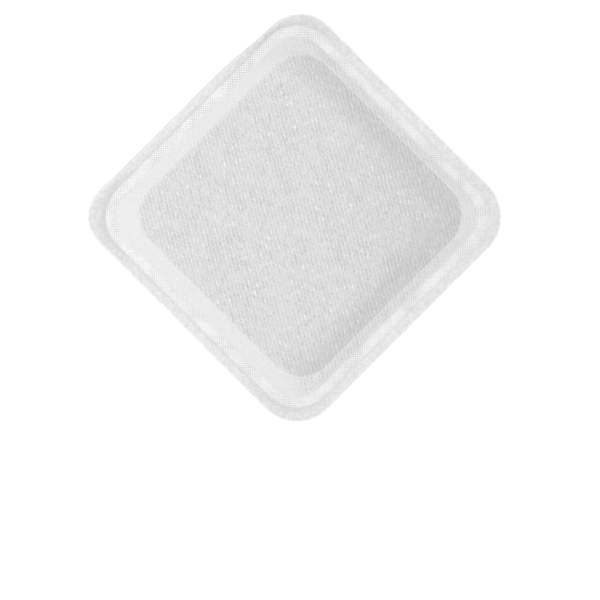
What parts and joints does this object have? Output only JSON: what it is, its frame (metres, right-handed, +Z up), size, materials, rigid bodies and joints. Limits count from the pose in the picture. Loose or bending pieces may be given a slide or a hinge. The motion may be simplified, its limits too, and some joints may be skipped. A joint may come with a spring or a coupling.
{
  "type": "super absorbent dressing",
  "caption": "Square wound dressing with rounded corners: an absorbent pad welded between two nonwoven sheets, with a loose flange round the weld.",
  "frame": {"origin": "on the surface the dressing lies on, under the middle of its sheets", "axes": "+Z up out of the face that meets the wound; X and Y along the square's sides, with the pad laid off the middle towards +X"},
  "size_m": [0.1, 0.1, 0.0043],
  "materials": {
    "back_nonwoven": "calendered spunbond polypropylene, fluid repellent",
    "absorbent_fluff": "matt cellulose fluff with absorbent granules",
    "cellulose_tissue": "matt tissue",
    "contact_nonwoven": "soft point bonded spunbond nonwoven"
  },
  "bodies": {
    "root": {"back_sheet": "back_nonwoven", "absorbent_core": "absorbent_fluff", "spreading_tissue": "cellulose_tissue", "contact_sheet": "contact_nonwoven"}
  },
  "joints": []
}
